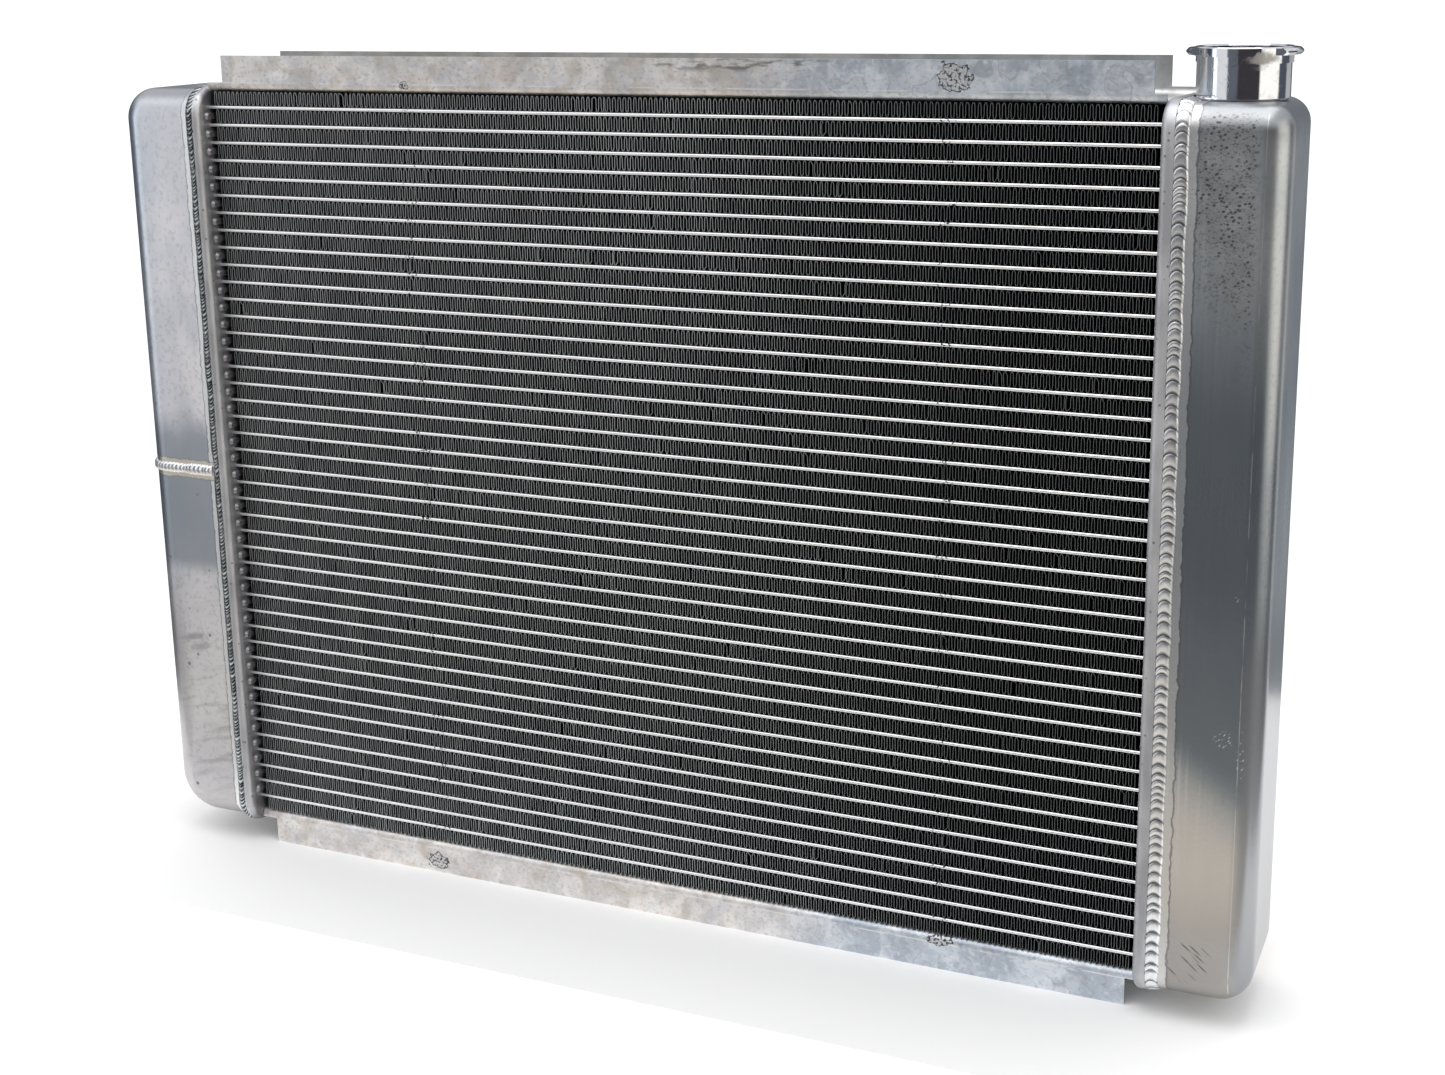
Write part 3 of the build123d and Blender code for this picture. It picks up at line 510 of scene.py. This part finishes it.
def polished_metal():
    """Turned and polished, with fine turning lines, scratches, smudges, and a dull smear low on the neck."""
    s = Shader("polished_metal")
    turning = s.noise(0.25 * mm, stretch=(60, 60, 1), detail=2)
    smudges = s.noise(7 * mm, at=(3, 2, 8), detail=5, swirl=1.2)
    specks = s.ramp(s.cells(3.4 * mm, at=(2, 2, 2)), 0.11, 0.06)
    colour = s.blend(s.ramp(smudges, 0.45, 0.75), (0.78, 0.79, 0.82), (0.60, 0.61, 0.63))
    colour = s.coat(colour, (0.25, 0.25, 0.26), specks, 0.7)
    smear = s.times(s.near((322, -20, 483.5), (10, 12, 4)), s.ramp(smudges, 0.35, 0.5))
    colour = s.coat(colour, (0.42, 0.40, 0.37), smear, 0.8)
    scratches = s.ramp(s.noise(0.5 * mm, stretch=(1, 1, 9), turn=(0, 0.4, 0.5), detail=3), 0.6, 0.7)
    scratched = s.times(scratches, s.near((305, -21, 473), (6, 8, 8)))
    colour = s.coat(colour, (0.95, 0.95, 0.95), scratched, 0.5)
    smudged = s.times(s.ramp(smudges, 0.5, 0.7), 0.14)
    roughness = s.plus(0.06, smudged, s.times(smear, 0.4), s.times(scratched, 0.3))
    height = s.plus(s.times(turning, 0.5), s.times(smudges, 0.5))
    return s.finish(colour, roughness, height, 0.012 * mm)


def drawn_metal():
    """Satin drawn tube for the hose necks, with lines along its length."""
    s = Shader("drawn_metal")
    lines = s.noise(0.4 * mm, stretch=(1, 60, 1), detail=2)
    clouds = s.noise(12 * mm, detail=4, at=(6, 2, 2))
    colour = s.blend(s.ramp(clouds, 0.35, 0.7), (0.62, 0.63, 0.65), (0.77, 0.775, 0.78))
    roughness = s.plus(0.26, s.times(lines, 0.12), s.times(clouds, 0.1))
    return s.finish(colour, roughness, s.plus(s.times(lines, 0.6), s.times(clouds, 0.4)), 0.04 * mm)


def plate_metal():
    """Mill finish plate."""
    s = Shader("plate_metal")
    rolled = s.noise(0.6 * mm, stretch=(30, 1, 1), detail=3)
    clouds = s.noise(18 * mm, detail=4)
    colour = s.blend(s.ramp(clouds, 0.35, 0.7), (0.58, 0.59, 0.61), (0.70, 0.71, 0.72))
    return s.finish(colour, s.plus(0.3, s.times(rolled, 0.2)), rolled, 0.04 * mm)


def brass_metal():
    """Turned brass, browned in patches."""
    s = Shader("brass_metal")
    patina = s.noise(5 * mm, detail=5, swirl=0.5)
    turning = s.noise(0.3 * mm, stretch=(1, 8, 1), detail=2, at=(2, 5, 1))
    colour = s.blend(s.ramp(patina, 0.4, 0.7), (0.74, 0.56, 0.26), (0.42, 0.29, 0.14))
    roughness = s.plus(0.24, s.times(patina, 0.22), s.times(turning, 0.08))
    return s.finish(colour, roughness, s.plus(s.times(turning, 0.5), s.times(patina, 0.5)), 0.05 * mm)


def black_rubber():
    """Moulded rubber with a fine grain and a dusty bloom."""
    s = Shader("black_rubber", metallic=0.0)
    grain = s.noise(0.4 * mm, detail=4)
    bloom = s.noise(3 * mm, detail=4, at=(1, 1, 1))
    colour = s.blend(s.ramp(bloom, 0.45, 0.8), (0.018, 0.018, 0.02), (0.07, 0.07, 0.07))
    return s.finish(colour, s.plus(0.55, s.times(grain, 0.25)), grain, 0.05 * mm)


def floor_paint():
    """Plain pale floor, very slightly uneven."""
    s = Shader("floor_paint", metallic=0.0)
    clouds = s.noise(300 * mm, detail=2)
    colour = s.blend(clouds, (0.90, 0.90, 0.905), (0.93, 0.93, 0.93))
    return s.finish(colour, s.plus(0.75, s.times(clouds, 0.1)))


# --- mesh helpers ---

def mesh_piece(name, points, faces, material, attributes=(), smooth=True):
    """A mesh object from arrays of points and of corner numbers, four to a face."""
    mesh = bpy.data.meshes.new(name)
    points = np.asarray(points, dtype=np.float32).reshape(-1, 3)
    faces = np.asarray(faces, dtype=np.int32).reshape(-1, 4)
    mesh.vertices.add(len(points))
    mesh.vertices.foreach_set("co", points.ravel())
    mesh.loops.add(faces.size)
    mesh.loops.foreach_set("vertex_index", faces.ravel())
    mesh.polygons.add(len(faces))
    mesh.polygons.foreach_set("loop_start", np.arange(0, faces.size, 4, dtype=np.int32))
    mesh.polygons.foreach_set("use_smooth", np.full(len(faces), smooth))
    for label, values in dict(attributes).items():
        mesh.attributes.new(label, "FLOAT", "POINT").data.foreach_set("value", np.ravel(values))
    mesh.update()
    mesh.validate()
    mesh.materials.append(material)
    piece = bpy.data.objects.new(name, mesh)
    bpy.context.scene.collection.objects.link(piece)
    return piece


def grid_faces(rows, columns, wrap_rows, wrap_columns):
    """Corner numbers of the faces between the points of a grid, row by row."""
    row = np.arange(rows if wrap_rows else rows - 1)[:, None]
    column = np.arange(columns if wrap_columns else columns - 1)[None, :]
    next_row = (row + 1) % rows
    next_column = (column + 1) % columns
    corners = [row * columns + column, next_row * columns + column]
    corners += [next_row * columns + next_column, row * columns + next_column]
    return np.stack(corners, axis=-1).reshape(-1, 4)


def end_caps(rows, columns):
    """Corner numbers of the faces over the first and last rows of a grid whose columns wrap round."""
    low = np.arange(columns // 2 - 1)
    cap = np.stack([low, low + 1, columns - 2 - low, columns - 1 - low], axis=-1)
    return np.concatenate([cap, cap[:, ::-1] + (rows - 1) * columns])


# --- fins ---

FIN_SEED = 4
LAYERS = 44
FOLD_PITCH = 3.1 * mm
STRIP_THICKNESS = 0.30 * mm
CROWN_STEPS = 5
CROWN_RISE = 2.0 * mm
LAYERS_PER_PIECE = 7
END_GAP = 1.0 * mm
LEG_SWAY = 0.06 * mm
# A fin leans only over this depth behind its front edge. All lean a little, and a few folds lean more.
BENT_DEPTH = 2.5 * mm
LEAN = 0.03 * mm
BENT_LEAN = 0.35 * mm
BENT_SHARE = 0.05
KNOCK_LEAN = 0.9 * mm
KNOCK_SPREAD = 0.15 * mm
# Where something knocked the front edges over: the layer, and from where to where in X, in millimetres.
KNOCKS = ((43, -188, -182), (43, -27, -21), (14, 210, 246), (30, 95, 103), (8, -61, -53))


def folded_strip(start, length, bottom, height, random):
    """Centre line of one folded strip in X and Z: upright legs joined by long rounded crowns."""
    legs = 2 * int(length / FOLD_PITCH)
    spacing = length / legs
    leg_x = start + spacing * (np.arange(legs) + 0.5) + random.normal(0, LEG_SWAY, legs)
    angles = np.linspace(0, math.pi, CROWN_STEPS + 1)
    middle = (leg_x[:-1] + leg_x[1:]) / 2
    half = (leg_x[1:] - leg_x[:-1]) / 2
    crown_x = middle[:, None] - half[:, None] * np.cos(angles)
    rise = CROWN_RISE * np.sin(angles)
    upper = np.arange(legs - 1)[:, None] % 2 == 0
    crown_z = np.where(upper, bottom + height - CROWN_RISE + rise, bottom + CROWN_RISE - rise)
    first = [[leg_x[0], bottom]]
    last = [[leg_x[-1], bottom if legs % 2 == 0 else bottom + height]]
    crowns = np.stack([crown_x.ravel(), crown_z.ravel()], axis=1)
    return np.concatenate([first, crowns, last])


def strip_solid(line, front, rear, layer, random):
    """Points and faces of a strip of even thickness along line, from front to rear in Y."""
    along = np.gradient(line, axis=0)
    along /= np.linalg.norm(along, axis=1, keepdims=True)
    aside = np.stack([-along[:, 1], along[:, 0]], axis=1) * STRIP_THICKNESS / 2
    fold_points = CROWN_STEPS + 1
    bent = random.random(len(line) // fold_points + 1) < BENT_SHARE
    lean = np.repeat(bent * random.normal(0, BENT_LEAN, len(bent)), fold_points)[: len(line)]
    lean += random.normal(0, LEAN, len(line))
    for knocked_layer, left, right in KNOCKS:
        if layer == knocked_layer:
            knocked = (line[:, 0] > left * mm) & (line[:, 0] < right * mm)
            lean += knocked * random.normal(KNOCK_LEAN, KNOCK_SPREAD)
    outline = []
    for side, y, shift in (
        (1, front, 1), (1, front + BENT_DEPTH, 0), (1, rear, 0),
        (-1, rear, 0), (-1, front + BENT_DEPTH, 0), (-1, front, 1),
    ):
        x = line[:, 0] + side * aside[:, 0] + shift * lean
        z = line[:, 1] + side * aside[:, 1]
        outline.append(np.stack([x, np.full(len(line), y), z], axis=1))
    points = np.stack(outline, axis=1)
    rows, columns = points.shape[:2]
    faces = np.concatenate([grid_faces(rows, columns, False, True), end_caps(rows, columns)])
    return points, faces


def add_fins():
    """Folded strips in place of the blocks that stand for them."""
    low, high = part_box("cooling_fins")
    height = (high.z - low.z) - (LAYERS - 1) * TUBE_PITCH
    random = np.random.default_rng(FIN_SEED)
    material = fin_metal()
    pieces = []
    for first in range(0, LAYERS, LAYERS_PER_PIECE):
        points, faces, count = [], [], 0
        for layer in range(first, min(first + LAYERS_PER_PIECE, LAYERS)):
            bottom = low.z + layer * TUBE_PITCH + STRIP_THICKNESS / 2
            start = low.x + random.uniform(0, END_GAP)
            length = high.x - random.uniform(0, END_GAP) - start
            line = folded_strip(start, length, bottom, height - STRIP_THICKNESS, random)
            strip_points, strip_faces = strip_solid(line, low.y, high.y, layer, random)
            points.append(strip_points.reshape(-1, 3))
            faces.append(strip_faces + count)
            count += strip_points.size // 3
        name = f"fins_{first // LAYERS_PER_PIECE + 1}"
        piece = mesh_piece(name, np.concatenate(points), np.concatenate(faces), material, smooth=False)
        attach(piece, body)
        pieces.append(piece)
    for piece in pieces:
        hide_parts("cooling_fins")


# --- weld beads ---

BEAD_SEED = 11
BEAD_ROOT = -0.4 * mm
NECK_FOOT_RADIUS = 22.3 * mm
# Each weld pool's length and strength vary between these shares of the bead's own.
POOL_LENGTHS = (0.6, 1.4)
POOL_STRENGTHS = (0.7, 1.0)
# How finely a bead is divided along and across. The divider's has ends, which only an even number can cap.
HEADER_STEP, DIVIDER_STEP = 0.45 * mm, 0.35 * mm
HEADER_COLUMNS, DIVIDER_COLUMNS = 13, 14
# How deep its ripples go, as a share of its height.
HEADER_RIPPLE, DIVIDER_RIPPLE = 0.24, 0.28
# How far its edge stays short of its full width, how it sways and with how many bends, and how much its
# ripples scallop it: the header's in metres, and the divider's as a share of its width.
HEADER_MARGIN, DIVIDER_MARGIN = 0.5 * mm, 0.4 * mm
HEADER_SWAY, DIVIDER_SWAY = 0.25 * mm, 0.3 * mm
HEADER_BENDS, DIVIDER_BENDS = 90, 24
HEADER_SCALLOP, DIVIDER_SCALLOP = 0.35 * mm, 0.10
# Height of a bead from the header to its toe on the tank, both as shares: one lapped over the header's lip,
# and one butted against it.
LAPPED = ((0.0, 0.15, 0.35, 0.6, 0.85, 1.0), (0.70, 0.88, 0.97, 0.78, 0.38, 0.0))
BUTTED = ((0.0, 0.2, 0.4, 0.6, 0.8, 0.92, 1.0), (0.92, 0.91, 0.86, 0.76, 0.58, 0.36, 0.0))


def rounded_loop(half_width, half_height, radius, step):
    """Evenly spaced points round a rectangle with round corners, centred on zero, with outward normals."""
    points, normals = [], []
    corners = ((1, 1, 0), (-1, 1, 90), (-1, -1, 180), (1, -1, 270))
    for across, upward, start in corners:
        centre = np.array([across * (half_width - radius), upward * (half_height - radius)])
        angles = np.radians(start + np.linspace(0, 90, max(3, int(radius * math.pi / 2 / step))))
        out = np.stack([np.cos(angles), np.sin(angles)], axis=1)
        points.append(centre + radius * out)
        normals.append(out)
    points, normals = np.concatenate(points), np.concatenate(normals)
    points, normals = np.vstack([points, points[:1]]), np.vstack([normals, normals[:1]])
    lengths = np.concatenate([[0], np.cumsum(np.linalg.norm(np.diff(points, axis=0), axis=1))])
    count = int(lengths[-1] / step)
    places = np.linspace(0, lengths[-1], count, endpoint=False)
    points = np.stack([np.interp(places, lengths, column) for column in points.T], axis=1)
    normals = np.stack([np.interp(places, lengths, column) for column in normals.T], axis=1)
    normals /= np.linalg.norm(normals, axis=1, keepdims=True)
    return points, normals, places, lengths[-1]


def ripples(places, total, across, pitch, bow, random):
    """0 to 1 relief of overlapping weld pools along a bead: across goes from -1 to 1 over its width."""
    count = int(total / pitch)
    gaps = random.uniform(*POOL_LENGTHS, count)
    edges = np.concatenate([[0], np.cumsum(gaps)]) / gaps.sum() * total
    edges = np.concatenate([edges[:-1] - total, edges[:-1], edges + total])
    bowed = places[:, None] - bow * (1 - across[None, :] ** 2)
    phase = np.interp(bowed, edges, np.arange(len(edges)))
    part = phase - np.floor(phase)
    pool = np.sin(math.pi * part ** 0.6)
    strength = random.uniform(*POOL_STRENGTHS, len(edges))[np.floor(phase).astype(int)]
    return pool * strength


def wander(places, total, bends, size, random):
    """A slow random sway along a bead, with a fresh value at each of its bends."""
    return np.interp(places, np.linspace(0, total, bends), random.normal(0, size, bends))


def bead_points(loop, normals, height, across, axis):
    """Points of a bead that stands height above the loop, with two rows sunk below its edges to close it.

    across is the place of each point over the width of the bead, which lies along axis."""
    height = np.concatenate([height, np.full((len(loop), 2), BEAD_ROOT)], axis=1)
    first, second = (loop[:, [k]] + normals[:, [k]] * height for k in (0, 1))
    coordinates = [first, second]
    coordinates.insert(axis, np.concatenate([across, across[:, [-1, 0]]], axis=1))
    return np.stack(coordinates, axis=2)


def add_bead(name, node, points, pool, faces, material):
    """The bead, in place of the plain one that stands for it. Its relief decides its colour."""
    relief = np.concatenate([pool, np.zeros((len(pool), 2))], axis=1)
    piece = mesh_piece(name, points, faces, material, {"relief": relief})
    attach(piece, body)
    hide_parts(node)


def add_header_bead(node, side, corner_radius, profile, pitch, bow, material, random):
    """The bead from a header's lip down to its tank, all the way round."""
    low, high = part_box(node)
    proud = high.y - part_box("right_tank")[1].y
    half_depth = (high.y - low.y) / 2 - proud
    half_height = (high.z - low.z) / 2 - proud
    loop, normals, places, total = rounded_loop(half_depth, half_height, corner_radius, HEADER_STEP)
    across = np.linspace(-1, 1, HEADER_COLUMNS)
    pool = ripples(places, total, across, pitch, bow, random)
    width = high.x - low.x
    sway = wander(places, total, HEADER_BENDS, HEADER_SWAY, random)
    scallop = HEADER_SCALLOP * (pool.max(axis=1) - 0.5)
    reach = np.minimum(width, width - HEADER_MARGIN + sway + scallop)
    start = low.x if side > 0 else high.x
    if side > 0:
        reach = np.minimum(reach, room_before_neck(loop, start))
    share = (across + 1) / 2
    height = proud * np.interp(share, *profile)[None, :] * (1 - HEADER_RIPPLE * (1 - pool))
    x = start + side * share[None, :] * reach[:, None]
    loop = loop + ((low.y + high.y) / 2, (low.z + high.z) / 2)
    points = bead_points(loop, normals, height, x, axis=0)
    faces = grid_faces(*points.shape[:2], True, True)
    if side > 0:
        faces = faces[:, ::-1]
    add_bead(f"{node}_bead", node, points, pool, faces, material)


def room_before_neck(loop, start):
    """How far the bead on the filler tank may reach in X before it meets the neck's foot."""
    neck_low, neck_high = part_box("filler_neck_weld")
    centre = (neck_low.x + neck_high.x) / 2
    inside = np.clip(NECK_FOOT_RADIUS ** 2 - loop[:, 0] ** 2, 0, None)
    unlimited = 1.0
    room = np.where(inside > 0, centre - np.sqrt(inside) - start, unlimited)
    on_top = loop[:, 1] > 200 * mm
    return np.where(on_top, room, unlimited)


def add_divider_bead(corner_radius, pitch, bow, material, random):
    """The bead over the divider's edge, round three sides of the divided tank."""
    node = "divider_weld"
    low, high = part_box(node)
    tank_low, tank_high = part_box("left_tank_upper")
    proud = tank_low.x - low.x
    # A whole loop that runs on past the header, and is then cut off there.
    inner = high.x + 20 * mm
    half_length, half_depth = (inner - tank_low.x) / 2, (tank_high.y - tank_low.y) / 2
    loop, normals, _, _ = rounded_loop(half_length, half_depth, corner_radius, DIVIDER_STEP)
    loop[:, 0] += (inner + tank_low.x) / 2
    order = np.argsort(np.arctan2(loop[:, 1], -(loop[:, 0] - high.x)))
    loop, normals = loop[order], normals[order]
    kept = loop[:, 0] < high.x
    loop, normals = loop[kept], normals[kept]
    places = np.concatenate([[0], np.cumsum(np.linalg.norm(np.diff(loop, axis=0), axis=1))])
    total = places[-1]
    across = np.linspace(-1, 1, DIVIDER_COLUMNS)
    pool = ripples(places, total, across, pitch, bow, random)
    half_width = (high.z - low.z) / 2
    sway = wander(places, total, DIVIDER_BENDS, DIVIDER_SWAY, random)
    half = np.minimum(half_width, half_width - DIVIDER_MARGIN + sway)
    dome = np.clip(1 - np.abs(across) ** 2.4, 0, 1) ** 0.6
    height = proud * dome[None, :] * (1 - DIVIDER_RIPPLE + DIVIDER_RIPPLE * pool)
    scallop = 1 + DIVIDER_SCALLOP * (pool - 0.5)
    z = (low.z + high.z) / 2 + across[None, :] * half[:, None] * scallop
    points = bead_points(loop, normals, height, np.clip(z, low.z, high.z), axis=2)
    rows, columns = points.shape[:2]
    faces = np.concatenate([grid_faces(rows, columns, False, True), end_caps(rows, columns)])[:, ::-1]
    add_bead("divider_bead", node, points, pool, faces, material)


# --- carried-over CAD nodes ---

def dress(materials):
    """Gives each CAD node that stays its material."""
    for node, material in materials.items():
        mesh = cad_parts[node].data
        mesh.materials.clear()
        mesh.materials.append(material)


# --- the scene ---

bpy.context.scene.view_settings.view_transform = "Standard"

add_camera(place=(0.5488, -1.0511, 0.5349), azimuth=26.22, pitch=15.0, roll=-1.0)
add_world()
add_softbox("overhead", place=(0.1, 0.0, 1.7), target=(0, 0, 0.2), size=(2.0, 1.2), power=13)

floor_corners = [(-0.60, -0.13, 0), (0.60, -0.13, 0), (0.60, 0.50, 0), (-0.60, 0.50, 0)]
floor = mesh_piece("floor", floor_corners, [(0, 1, 2, 3)], floor_paint(), smooth=False)

GREY_WELD = weld_metal("grey_weld_metal", (0.03, 0.034, 0.038), (0.72, 0.77, 0.79), crest=0.9)
WELD = weld_metal("weld_metal", (0.20, 0.21, 0.23), (0.97, 0.98, 0.99))
BRIGHT_WELD = weld_metal("bright_weld_metal", (0.60, 0.60, 0.62), (1.0, 1.0, 1.0))
HEADER = header_metal()
CHANNEL = channel_metal()
TUBE = tube_metal()
LEFT_TANK = left_tank_metal()
POLISHED = polished_metal()
DRAWN = drawn_metal()
BRASS = brass_metal()
dress({
    "core_tubes_front_row": TUBE,
    "core_tubes_rear_row": TUBE,
    "left_header": HEADER,
    "right_header": HEADER,
    "left_tank_upper": LEFT_TANK,
    "left_tank_lower": LEFT_TANK,
    "right_tank": right_tank_metal(),
    "tank_divider": plate_metal(),
    "top_side_channel": CHANNEL,
    "bottom_side_channel": CHANNEL,
    "filler_neck": POLISHED,
    "overflow_nipple": POLISHED,
    "filler_neck_weld": WELD,
    "inlet_neck": DRAWN,
    "outlet_neck": DRAWN,
    "inlet_neck_weld": WELD,
    "outlet_neck_weld": WELD,
    "drain_bung": POLISHED,
    "drain_bung_weld": WELD,
    "petcock_body": BRASS,
    "petcock_stem": BRASS,
    "petcock_seal": black_rubber(),
})
add_fins()
bead_random = np.random.default_rng(BEAD_SEED)
add_header_bead(
    "left_header_weld", side=-1, corner_radius=15 * mm, profile=LAPPED,
    pitch=2.3 * mm, bow=2.8 * mm, material=GREY_WELD, random=bead_random,
)
add_header_bead(
    "right_header_weld", side=1, corner_radius=12 * mm, profile=BUTTED,
    pitch=4.9 * mm, bow=-2.6 * mm, material=WELD, random=bead_random,
)
add_divider_bead(15 * mm, pitch=2.6 * mm, bow=1.6 * mm, material=BRIGHT_WELD, random=bead_random)
